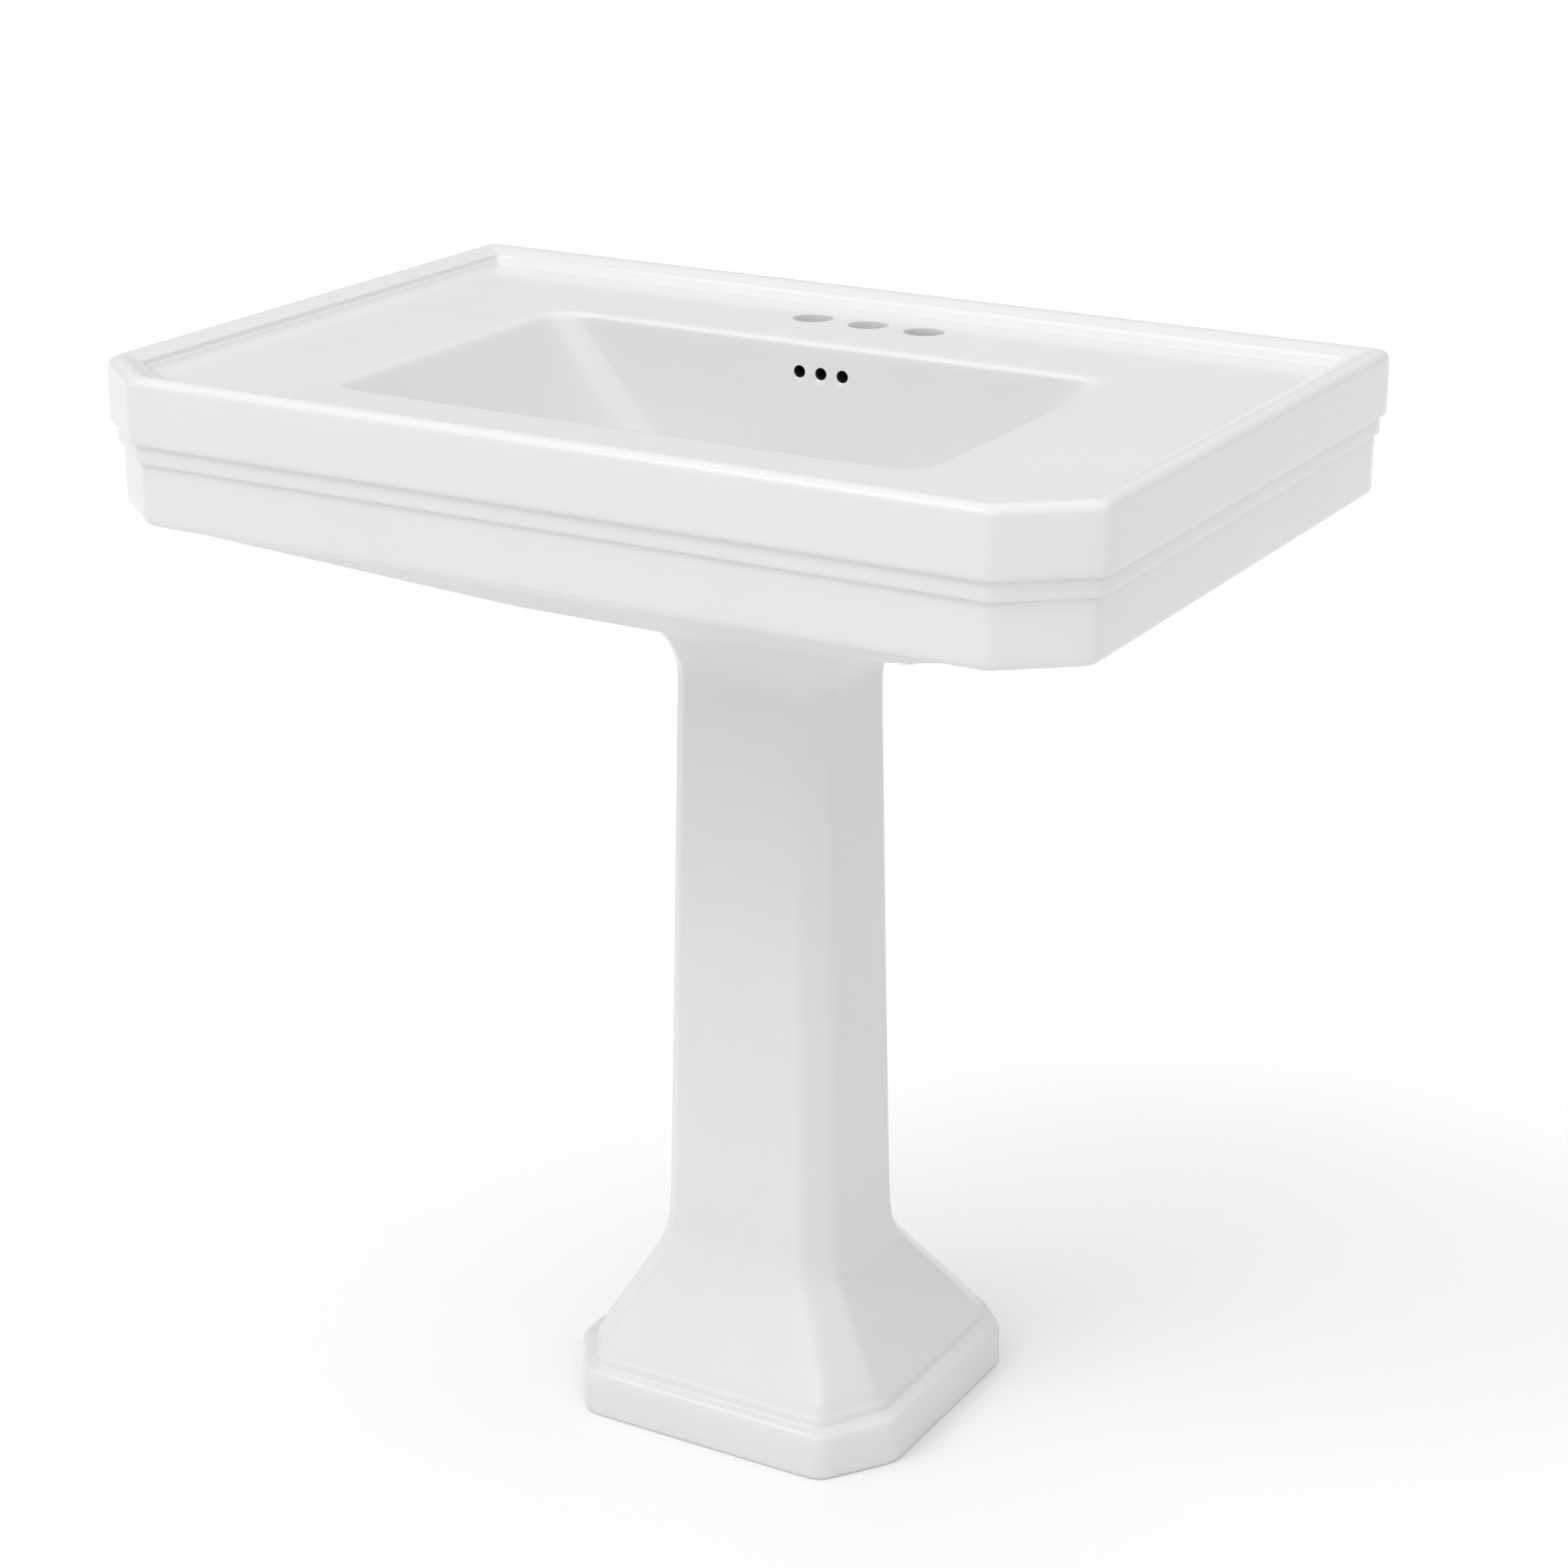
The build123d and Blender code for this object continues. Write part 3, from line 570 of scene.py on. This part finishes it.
def hull_levels():
    """Levels of the hipped underside: share of the way down, height, extra spread."""
    top_z = APRON_Z
    fall = top_z - HULL_Z
    shares = (0.03, 0.10, 0.5, 0.9, 0.975)
    levels = [(0.0, top_z, 1.2), (0.0, top_z - 0.5, -0.6)]
    levels += [(share, top_z - share * fall, 0.0) for share in shares]
    return levels + [(1.0, HULL_Z + 0.3, -1.0), (1.0, HULL_Z, -4.0), (1.0, HULL_Z, -9.0)]


def tap_hole(bm, centre):
    """Round hole with a soft upper edge, as deep as the deck is thick and a little more."""
    def beside(e):
        return all(abs(v.co.x - centre.x) < TAP_BLOCK + 1 and abs(v.co.y - centre.y) < TAP_BLOCK + 1
                   for v in e.verts)

    loop = start_at(open_edge_loop(bm, beside), centre + Vector((TAP_BLOCK, 0, 0)))
    levels = ((3.2, 0.0), (1.4, -0.15), (0.35, -0.9), (0.0, -2.6), (0.0, -9.0), (0.0, -17.0))
    for k, (grow, drop) in enumerate(levels):
        ring = []
        for i in range(len(loop)):
            angle = 2 * math.pi * i / len(loop)
            out = Vector((math.cos(angle), math.sin(angle), 0)) * (TAP_R + grow)
            ring.append(centre + out + Vector((0, 0, drop)))
        if k == 0:
            for v, point in zip(loop, ring):
                v.co = point
        else:
            loop = extrude_loop(bm, loop, ring)
    bm.faces.new(loop)


def casting_hollow():
    """The space between bowl and apron."""
    top = DECK_Z - CHINA_T
    ledge = APRON_Z + CHINA_T
    back = HULL_TOP[2]
    apron = [tuple(c.xy) for c in basin_corners(APRON_INSET + CHINA_T, WALL_Y - back)]
    hollow = tower("hollow", [
        (six_sided(*HULL_FLAT), HULL_Z + CHINA_T + 1),
        (six_sided(HULL_TOP[0], HULL_TOP[1] + CHINA_T / 2, back), ledge),
        (apron, ledge + 0.5),
        (apron, top),
    ])
    bowl_out = tower("bowl outside", [
        (rectangle(FLOOR_X + CHINA_T, FLOOR_Y[0] - CHINA_T, FLOOR_Y[1] + CHINA_T), FLOOR_Z - CHINA_T),
        (rectangle(BOWL_X + BOWL_SLOPE_T, BOWL_Y[0] - BOWL_SLOPE_T, BOWL_Y[1] + BOWL_SLOPE_T),
         top + PAST),
    ])
    carve(hollow, bowl_out)
    block_back = BOWL_Y[1] + CHINA_T + DUCT_DEPTH + DUCT_WALL
    block = rectangle(DUCT_X + DUCT_WALL, DUCT_FRONT, block_back)
    return carve(hollow, tower("duct outside", [(block, HULL_Z + 10), (block, DUCT_TOP + DUCT_WALL)]))


def make_basin():
    basin = bake(finish_mesh(basin_net(), "basin_china"))
    carve(basin, casting_hollow())
    opening = rectangle(SERVICE_X, SERVICE_Y, HULL_TOP[2] - 0.01)
    carve(basin, tower("service opening", [(opening, HULL_Z - PAST),
                                           (opening, APRON_Z + CHINA_T + 2)]))
    duct_y = BOWL_Y[1] + CHINA_T
    duct = rectangle(DUCT_X, duct_y - 1, duct_y + DUCT_DEPTH)
    carve(basin, tower("overflow duct", [(duct, DUCT_FOOT), (duct, DUCT_TOP)]))
    carve(basin, cylinder("drain bore", DRAIN_R, (0, DRAIN_Y, HULL_Z - PAST), (0, DRAIN_Y, SEAT_Z - 3)))
    for i in (-1, 0, 1):
        overflow_hole(basin, i * OVERFLOW_PITCH)
    for side in (-1, 1):
        stud = Vector((side * STUD_X, WALL_Y, STUD_Z))
        away = Vector((0, 20, 0))
        carve(basin, cylinder("stud hole", STUD_HOLE_R, stud - away, stud + away))
    basin.data.set_sharp_from_angle(angle=SHARP)
    return basin


def overflow_hole(basin, x):
    """Round hole in the back wall of the bowl with a soft mouth, into the overflow duct."""
    fall = (DECK_Z - OVERFLOW_Z) / (DECK_Z - FLOOR_Z)
    wall_y = BOWL_Y[1] - fall * (BOWL_Y[1] - FLOOR_Y[1])
    in_bowl, in_duct, mouth, throat = (Vector((x, y, OVERFLOW_Z)) for y in (
        wall_y - 20, BOWL_Y[1] + CHINA_T + DUCT_DEPTH / 2, wall_y - 2, wall_y + 1.2))
    carve(basin, cylinder("overflow", OVERFLOW_R, in_bowl, in_duct))
    carve(basin, cylinder("overflow mouth", OVERFLOW_MOUTH_R, mouth, throat, OVERFLOW_THROAT_R))


# ---- pedestal ----
def octagon(half_x, front, back, cut_x, cut_y, cut_back):
    """Plan corners of a section, counter-clockwise from the right end of the front edge."""
    right = [(half_x - cut_x, front), (half_x, front + cut_y),
             (half_x, back - cut_back), (half_x - cut_back, back)]
    return [Vector((x, y, 0)) for x, y in right + [(-x, y) for x, y in reversed(right)]]


def shaft_section(spread, inset=0.0):
    """Spread 0 is the slim shaft, 1 the foot of the skirt."""
    side, front, back = (spread * growth - inset for growth in SKIRT_GROWTH)
    cut_x, cut_y, cut_back = (SHAFT_CUT + spread * growth - CUT_SHRINK * inset for growth in SKIRT_CUT)
    cut_x += 46 * max(0.0, spread - 1)     # keeps the moulding's corners on top of the plinth
    return octagon(SHAFT_X + side, -SHAFT_Y - front, SHAFT_Y + back, cut_x, cut_y, cut_back)


def plinth_section(inset):
    cuts = [cut - CUT_SHRINK * inset for cut in PLINTH_CUT]
    return octagon(foot_high.x - inset, foot_low.y + inset, foot_high.y - inset, *cuts)


def head_section(flare, inset):
    """Section of the shaft's head, spread evenly."""
    grow = flare - inset
    cut = SHAFT_CUT + CUT_SHRINK * grow
    return octagon(SHAFT_X + grow, -SHAFT_Y - grow, SHAFT_Y + grow, cut, cut, cut)


def skirt_spread(z):
    """The skirt's straight slope melts through a cove into the shaft's taper."""
    slope, taper = (spread - rate * (z - height) for height, spread, rate in (SKIRT_FOOT, SHAFT_TAPER))
    return (slope + taper) / 2 + math.hypot((slope - taper) / 2, SKIRT_COVE)


def head_flare(z):
    rise = min(max(z - HEAD_Z, 0.0), HEAD_LIP)
    return HEAD_R - math.sqrt(HEAD_R ** 2 - rise ** 2)


def pedestal_ring(section, z, bend):
    """Place the ring's points: three round each corner, and those of the slot on the back edge."""
    points = []
    for k in range(8):
        before, here, after = section[k - 1], section[k], section[(k + 1) % 8]
        points += [here + (before - here).normalized() * bend, here,
                   here + (after - here).normalized() * bend]
        if k == 3:
            edge = SLOT_X + SLOT_EDGE
            points += [Vector((x, here.y, 0)) for x in (edge, SLOT_X, 0, -SLOT_X, -edge)]
        elif k in (1, 5, 7):
            points.append((here + after) / 2)
    for point in points:
        point.z = z
    return points


def section_at(z, inset):
    """Section of the column at a height, on its outside or set in by its wall."""
    if z < HEAD_Z:
        return shaft_section(skirt_spread(z), inset)
    start, height = NECK
    return head_section(head_flare(z) - start * (1 - min(1, (z - HEAD_Z) / height)), inset)


def make_pedestal():
    """Hollow column: a ring of wall from foot to head, opened at the back for the pipes."""
    top_z = foot_high.z
    skirt = [56 + 8 * i for i in range(17)]
    shaft = [200, 240, 300, 400, 500, 580, 622]
    head = [HEAD_Z + rise for rise in (0, 8, 16, 24, 31, 37, 42, 46, 49, 51)]
    column = skirt + shaft + head
    lip = HEAD_Z + HEAD_LIP
    plinth = [(2.6, 0.0), (0.8, 0.5), (0, 2.4), (0, 18), (0, 33.5), (0.8, 37.4), (3.0, 40.4),
              (6.5, PLINTH_Z)]
    moulding = [(1.20, PLINTH_Z + 0.8), (1.172, PLINTH_Z + 1.6), (1.162, PLINTH_Z + 3.2),
                (1.155, 47.6), (1.135, 49.6), (1.10, 51.4)]
    top_edge = [(0.6, top_z - 1.2), (2.0, top_z - 0.2), (4.0, top_z)]
    inner_edge = [(WALL_T - 3, top_z), (WALL_T - 1, top_z - 0.6), (WALL_T, top_z - 3)]
    inner_foot = [(WALL_T + 6, 40), (WALL_T + 2, 28), (WALL_T + 2, 4), (WALL_T, 0.4), (WALL_T - 3, 0.0)]
    outer = [(plinth_section(inset), z, FOOT_BEND) for inset, z in plinth]
    outer += [(shaft_section(spread), z, MOULDING_TURN) for spread, z in moulding]
    outer += [(section_at(z, 0), z, SHAFT_BEND) for z in [*column, lip + 1, lip + 3]]
    outer.append((section_at(top_z, 0), top_z - 5, SHAFT_BEND))
    outer += [(section_at(top_z, inset), z, HEAD_BEND) for inset, z in top_edge]
    inner = [(section_at(top_z, inset), z, INNER_BEND) for inset, z in inner_edge]
    inner += [(section_at(z, WALL_T), z, INNER_BEND) for z in reversed(column)]
    inner += [(plinth_section(inset), z, INNER_BEND) for inset, z in inner_foot]

    bm = bmesh.new()
    profile = outer + inner
    rings = [first_loop(bm, pedestal_ring(*profile[0]))]
    for level in profile[1:]:
        rings.append(extrude_loop(bm, rings[-1], pedestal_ring(*level)))
    seam = [bm.edges.get(pair) for loop in (rings[0], rings[-1])
            for pair in zip(loop, loop[1:] + loop[:1])]
    bmesh.ops.bridge_loops(bm, edges=seam)
    open_slot(bm, profile, rings)
    piece = bake(finish_mesh(bm, "pedestal_china"))
    carve(piece, floor_web(), "UNION")
    piece.data.set_sharp_from_angle(angle=SHARP)
    return piece


def open_slot(bm, profile, rings):
    """Take the back away between the slot's edges and close the wall's thickness there."""
    low = next(i for i, level in enumerate(profile) if level[1] >= SLOT_Z)
    high = len(profile) - next(i for i, level in enumerate(reversed(profile)) if level[1] >= SLOT_Z)
    in_slot = rings[low:high]
    columns = [i for i, v in enumerate(rings[low]) if abs(abs(v.co.x) - SLOT_X) < 0.01 and v.co.y > 0]
    start, end = columns
    across = range(start, end)
    doomed = []
    for lower, upper in zip(in_slot, in_slot[1:]):
        for i in across:
            corners = (lower[i], lower[i + 1], upper[i + 1], upper[i])
            doomed += [f for f in lower[i].link_faces if all(c in f.verts for c in corners)]
    bmesh.ops.delete(bm, geom=doomed, context="FACES")
    depth = len(in_slot)
    for k in range(depth // 2 - 1):
        for i in (start, end):
            near, far = in_slot[k], in_slot[depth - 1 - k]
            bm.faces.new((near[i], in_slot[k + 1][i], in_slot[depth - 2 - k][i], far[i]))
    for i in across:
        bm.faces.new((in_slot[0][i], in_slot[0][i + 1], in_slot[-1][i + 1], in_slot[-1][i]))
    loose = [v for v in bm.verts if not v.link_faces]
    bmesh.ops.delete(bm, geom=loose, context="VERTS")


def floor_web():
    """Bridge across the inside of the foot with the floor-fixing hole."""
    radius, height = (mounts["floor_fixing"]["dims"][key] for key in ("r_mm", "length_mm"))
    plan = rectangle(foot_high.x - WALL_T, -WEB_Y, WEB_Y)
    web = tower("web", [(plan, 0.2), (plan, height)])
    return carve(web, cylinder("web bore", radius, (0, 0, -PAST), (0, 0, height + PAST)))


# ---- small pieces ----
def make_spring():
    """Coil of round wire under the stopper stem."""
    low, high = size_mm("stopper_spring")
    wire_r = 0.6
    coil_r = (high.x - low.x) / 2 - wire_r
    turns = 8
    steps = 20
    bm = bmesh.new()
    bmesh.ops.create_circle(bm, segments=10, radius=wire_r, cap_ends=True)
    bmesh.ops.rotate(bm, matrix=Matrix.Rotation(math.pi / 2, 3, "X"), verts=bm.verts)
    bmesh.ops.translate(bm, vec=(coil_r, DRAIN_Y, low.z + wire_r), verts=bm.verts)
    rise = (high.z - low.z - 2 * wire_r) / (turns * steps)
    bmesh.ops.spin(bm, geom=bm.verts[:] + bm.edges[:] + bm.faces[:], cent=(0, DRAIN_Y, 0),
                   axis=(0, 0, 1), dvec=(0, 0, rise), angle=2 * math.pi * turns,
                   steps=turns * steps, use_duplicate=False)
    return finish_mesh(bm, "stopper_spring_coil", levels=0)


# ---- materials ----
def new_material(name, colour, roughness, metallic=0.0):
    """Principled material; returns it with its node tree and shader."""
    material = bpy.data.materials.new(name)
    material.use_nodes = True
    shader = material.node_tree.nodes["Principled BSDF"]
    shader.inputs["Base Color"].default_value = (*colour, 1)
    shader.inputs["Roughness"].default_value = roughness
    shader.inputs["Metallic"].default_value = metallic
    return material, material.node_tree, shader


def noise(tree, scale, detail=3.0, stretch=(1, 1, 1)):
    """Noise on the object's own coordinates."""
    place = tree.nodes.new("ShaderNodeTexCoord")
    mapping = tree.nodes.new("ShaderNodeMapping")
    mapping.inputs["Scale"].default_value = stretch
    texture = tree.nodes.new("ShaderNodeTexNoise")
    texture.inputs["Scale"].default_value = scale
    texture.inputs["Detail"].default_value = detail
    tree.links.new(place.outputs["Object"], mapping.inputs["Vector"])
    tree.links.new(mapping.outputs["Vector"], texture.inputs["Vector"])
    return texture.outputs["Fac"]


def ramp(tree, source, low, high):
    """Turn a pattern into a colour or a value between two ends."""
    mix = tree.nodes.new("ShaderNodeValToRGB")
    mix.color_ramp.elements[0].position = 0.35
    mix.color_ramp.elements[1].position = 0.65
    mix.color_ramp.elements[0].color = (*low, 1)
    mix.color_ramp.elements[1].color = (*high, 1)
    tree.links.new(source, mix.inputs["Fac"])
    return mix.outputs["Color"]


def bump(tree, shader, source, height, strength=1.0):
    """Raise the surface by a pattern, height in metres."""
    node = tree.nodes.new("ShaderNodeBump")
    node.inputs["Strength"].default_value = strength
    node.inputs["Distance"].default_value = height
    tree.links.new(source, node.inputs["Height"])
    tree.links.new(node.outputs["Normal"], shader.inputs["Normal"])


def white_glaze():
    """Thick glossy glaze: faint waviness, and a hint of warmth where it pools."""
    material, tree, shader = new_material("white glaze", (0.695, 0.695, 0.695), 0.15)
    shader.inputs["IOR"].default_value = 1.5
    shader.inputs["Specular IOR Level"].default_value = 0.32
    tone = ramp(tree, noise(tree, 9.0, 2.0), (0.69, 0.69, 0.688), (0.70, 0.70, 0.70))
    tree.links.new(tone, shader.inputs["Base Color"])
    gloss = ramp(tree, noise(tree, 30.0), (0.13, 0.13, 0.13), (0.18, 0.18, 0.18))
    tree.links.new(gloss, shader.inputs["Roughness"])
    bump(tree, shader, noise(tree, 11.0, 0.0), 0.0003, 0.25)
    return material


def dull_glaze():
    """Thin glaze of the underside, which lies out of sight and stays half matt."""
    material, tree, shader = new_material("underside glaze", (0.68, 0.68, 0.68), 0.6)
    shader.inputs["Specular IOR Level"].default_value = 0.25
    tone = ramp(tree, noise(tree, 14.0, 3.0), (0.665, 0.663, 0.658), (0.69, 0.69, 0.688))
    tree.links.new(tone, shader.inputs["Base Color"])
    return material


def polished_chrome():
    material, tree, shader = new_material("polished chrome", (0.86, 0.87, 0.88), 0.08, 1.0)
    gloss = ramp(tree, noise(tree, 220.0), (0.05, 0.05, 0.05), (0.12, 0.12, 0.12))
    tree.links.new(gloss, shader.inputs["Roughness"])
    return material


def machined_brass():
    material, tree, shader = new_material("machined brass", (0.72, 0.53, 0.24), 0.28, 1.0)
    tone = ramp(tree, noise(tree, 60.0), (0.66, 0.47, 0.20), (0.76, 0.57, 0.27))
    tree.links.new(tone, shader.inputs["Base Color"])
    bump(tree, shader, noise(tree, 900.0, 1.0, (0.1, 0.1, 6)), 0.00003, 0.5)
    return material


def black_rubber():
    material, tree, shader = new_material("black rubber", (0.03, 0.03, 0.032), 0.7)
    tone = ramp(tree, noise(tree, 120.0), (0.025, 0.025, 0.027), (0.045, 0.045, 0.047))
    tree.links.new(tone, shader.inputs["Base Color"])
    bump(tree, shader, noise(tree, 1500.0), 0.00005, 0.5)
    return material


def moulded_plastic(name, colour):
    material, tree, shader = new_material(name, colour, 0.42)
    darker = tuple(c * 0.93 for c in colour)
    tree.links.new(ramp(tree, noise(tree, 80.0), darker, colour), shader.inputs["Base Color"])
    bump(tree, shader, noise(tree, 1200.0), 0.00002, 0.4)
    return material


def zinc_plate():
    material, tree, shader = new_material("zinc plate", (0.60, 0.61, 0.62), 0.35, 1.0)
    tone = ramp(tree, noise(tree, 70.0, 5.0), (0.52, 0.53, 0.55), (0.66, 0.67, 0.66))
    tree.links.new(tone, shader.inputs["Base Color"])
    bump(tree, shader, noise(tree, 700.0), 0.00003, 0.5)
    return material


def duct_painted_shade():
    """Near-black painted shade on the wall of the overflow duct, seen only through its small holes: the
    colour stands in for the shade inside the duct.
    """
    material, tree, shader = new_material("duct painted shade", (0.012, 0.012, 0.012), 0.9)
    tone = ramp(tree, noise(tree, 200.0), (0.008, 0.008, 0.008), (0.016, 0.016, 0.016))
    tree.links.new(tone, shader.inputs["Base Color"])
    return material


def paint_hidden_faces(basin, duct, underside):
    """Give the overflow duct its near-black painted shade, and all that faces down or lies inside the
    casting the underside glaze.
    """
    basin.data.materials.append(duct)
    basin.data.materials.append(underside)
    duct_back = BOWL_Y[1] + CHINA_T + DUCT_DEPTH
    for face in basin.data.polygons:
        c = face.center / MM
        in_depth = BOWL_Y[1] + 0.5 < c.y < duct_back + 0.5
        in_height = DUCT_FOOT - 1 < c.z < DUCT_TOP + 1
        if abs(c.x) < DUCT_X + 0.5 and in_depth and in_height:
            # painted shade: the duct's faces take the near-black material
            face.material_index = 1
        elif face.normal.z < -0.2 and c.z < APRON_Z - 0.8:
            face.material_index = 2


# ---- studio ----
def make_camera():
    """Looks down on the sink from its front right, as a person standing a little way off would."""
    place = Vector((1.3103, -2.2926, 1.4975))
    azimuth, pitch, roll = (math.radians(a) for a in (29.681, 19.876, 0.174))
    ahead = Vector((-math.sin(azimuth) * math.cos(pitch), math.cos(azimuth) * math.cos(pitch),
                    -math.sin(pitch)))
    level = Vector((math.cos(azimuth), math.sin(azimuth), 0))
    upright = level.cross(ahead)
    across = level * math.cos(roll) + upright * math.sin(roll)
    up = across.cross(ahead)
    lens = bpy.data.cameras.new("camera")
    lens.lens = 80
    lens.sensor_width = 36
    camera = bpy.data.objects.new("camera", lens)
    turn = Matrix((across, up, -ahead)).transposed().to_4x4()
    camera.matrix_world = Matrix.Translation(place) @ turn
    bpy.context.scene.collection.objects.link(camera)
    bpy.context.scene.camera = camera


def broad_light(name, towards, spread, power):
    """Even light from one side of the room, as wide as a wall of windows, spread in degrees."""
    light = bpy.data.lights.new(name, "SUN")
    light.angle = math.radians(spread)
    light.energy = power
    lamp = bpy.data.objects.new(name, light)
    lamp.rotation_euler = Vector(towards).to_track_quat("-Z", "Y").to_euler()
    bpy.context.scene.collection.objects.link(lamp)


def make_studio():
    """Pale floor, an even bright surround, a broad soft ceiling and a smaller light at the front left."""
    bm = bmesh.new()
    bmesh.ops.create_grid(bm, x_segments=1, y_segments=1, size=40)
    mesh = bpy.data.meshes.new("floor")
    bm.to_mesh(mesh)
    bm.free()
    floor = bpy.data.objects.new("floor", mesh)
    bpy.context.scene.collection.objects.link(floor)
    pale, tree, shader = new_material("pale floor", (0.88, 0.88, 0.88), 0.9)
    shader.inputs["Specular IOR Level"].default_value = 0.1
    mesh.materials.append(pale)

    world = bpy.data.worlds.new("surround")
    bpy.context.scene.world = world
    world.use_nodes = True
    surround = world.node_tree.nodes["Background"]
    surround.inputs["Color"].default_value = (1, 1, 1, 1)
    surround.inputs["Strength"].default_value = 0.57
    broad_light("ceiling", (-0.05, 0.34, -0.94), 100, 1.85)
    broad_light("window", (0.35, 0.55, -0.76), 24, 0.5)
    bpy.context.scene.view_settings.view_transform = "Standard"


# ---- put it together ----
make_camera()
make_studio()

glaze = white_glaze()
basin = make_basin()
basin.data.materials.append(glaze)
# the overflow duct gets near-black painted shade
paint_hidden_faces(basin, duct_painted_shade(), dull_glaze())
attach(basin, "root")
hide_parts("basin")

pedestal = make_pedestal()
pedestal.data.materials.append(glaze)
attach(pedestal, "root")
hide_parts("pedestal")

finishes = {
    "china": glaze,
    "chrome": polished_chrome(),
    "brass": machined_brass(),
    "rubber": black_rubber(),
    "grey_plastic": moulded_plastic("grey acetal", (0.42, 0.43, 0.44)),
    "white_plastic": moulded_plastic("white nylon", (0.80, 0.80, 0.77)),
    "zinc_steel": zinc_plate(),
    "spring_steel": zinc_plate(),
}

spring = make_spring()
spring.data.materials.append(finishes["spring_steel"])
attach(spring, "root")
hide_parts("stopper_spring")
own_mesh(spring)

slot_of = {s["node"]: s["material_slot"] for s in record["subparts"]}
for node, piece in frame["nodes"].items():
    if not piece.hide_render:
        piece.data.materials.clear()
        piece.data.materials.append(finishes[slot_of[node]])
